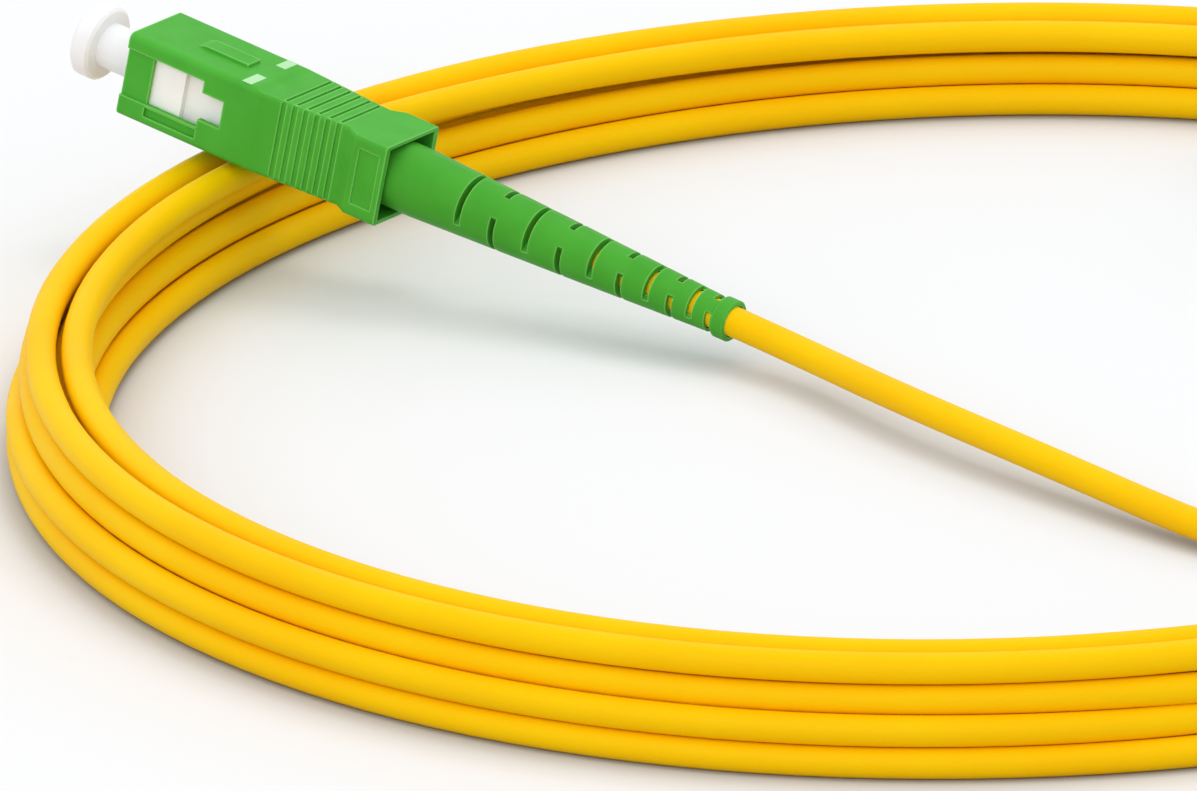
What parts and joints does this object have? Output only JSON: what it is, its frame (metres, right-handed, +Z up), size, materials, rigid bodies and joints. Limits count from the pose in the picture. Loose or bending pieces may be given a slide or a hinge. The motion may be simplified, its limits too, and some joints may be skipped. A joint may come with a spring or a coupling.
{
  "type": "fibre optic patch cable",
  "caption": "Simplex patch cable: a round jacketed optical cord wound in a level coil, with a square push-pull plug, slotted boot and dust cap on each end.",
  "frame": {"origin": "centre of the coil on the floor that it lies on", "axes": "+Z up, out of the floor; -Y faces the picture's viewer; plug a lies at -X +Y, plug b at +X +Y"},
  "size_m": [0.1766, 0.1766, 0.0216],
  "materials": {
    "cap_white": "soft translucent white moulded cap",
    "housing_green": "bright green moulded plastic, satin",
    "frame_white": "white moulded plastic",
    "ceramic_white": "polished white ceramic",
    "flange_steel": "turned metal",
    "spring_steel": "spring wire",
    "stop_body_metal": "turned and knurled metal",
    "tube_clear_white": "thin soft tube",
    "crimp_metal": "crimped soft metal",
    "yarn": "loose strength yarn",
    "buffer_white": "tight buffer over the glass fibre",
    "jacket_yellow": "smooth flexible cable jacket, satin",
    "boot_green": "soft green moulded boot"
  },
  "bodies": {
    "cable_and_plug_cores": {"plug_frame_a": "frame_white", "ferrule_spring_a": "spring_steel", "stop_body_a": "stop_body_metal", "guide_tube_a": "tube_clear_white", "crimp_sleeve_a": "crimp_metal", "aramid_yarn_a": "yarn", "buffered_fibre_a": "buffer_white", "jacket_end_a": "jacket_yellow", "boot_a": "boot_green", "plug_frame_b": "frame_white", "ferrule_spring_b": "spring_steel", "stop_body_b": "stop_body_metal", "guide_tube_b": "tube_clear_white", "crimp_sleeve_b": "crimp_metal", "aramid_yarn_b": "yarn", "buffered_fibre_b": "buffer_white", "jacket_end_b": "jacket_yellow", "boot_b": "boot_green", "cable_coil": "jacket_yellow", "cable_tail_a": "jacket_yellow", "cable_tail_b": "jacket_yellow"},
    "cap_a": {"dust_cap_a": "cap_white"},
    "grip_a": {"outer_housing_a": "housing_green"},
    "ferrule_set_a": {"ferrule_a": "ceramic_white", "ferrule_flange_a": "flange_steel"},
    "cap_b": {"dust_cap_b": "cap_white"},
    "grip_b": {"outer_housing_b": "housing_green"},
    "ferrule_set_b": {"ferrule_b": "ceramic_white", "ferrule_flange_b": "flange_steel"}
  },
  "joints": [
    {"name": "cap_pull_a", "type": "slide", "parent": "cable_and_plug_cores", "child": "cap_a", "axis": [-0.8085, 0.5536, 0.1994], "range_m": [0, 0.008]},
    {"name": "grip_slide_a", "type": "slide", "parent": "cable_and_plug_cores", "child": "grip_a", "axis": [0.8085, -0.5536, -0.1994], "range_m": [0, 0.0018]},
    {"name": "ferrule_float_a", "type": "slide", "parent": "cable_and_plug_cores", "child": "ferrule_set_a", "axis": [0.8085, -0.5536, -0.1994], "range_m": [0, 0.001], "stiffness_N_per_m": 1200, "springref_m": -0.006, "deforming": ["ferrule_spring_a"]},
    {"name": "cap_pull_b", "type": "slide", "parent": "cable_and_plug_cores", "child": "cap_b", "axis": [-0.6157, 0.788, 0], "range_m": [0, 0.008]},
    {"name": "grip_slide_b", "type": "slide", "parent": "cable_and_plug_cores", "child": "grip_b", "axis": [0.6157, -0.788, 0], "range_m": [0, 0.0018]},
    {"name": "ferrule_float_b", "type": "slide", "parent": "cable_and_plug_cores", "child": "ferrule_set_b", "axis": [0.6157, -0.788, 0], "range_m": [0, 0.001], "stiffness_N_per_m": 1200, "springref_m": -0.006, "deforming": ["ferrule_spring_b"]}
  ]
}
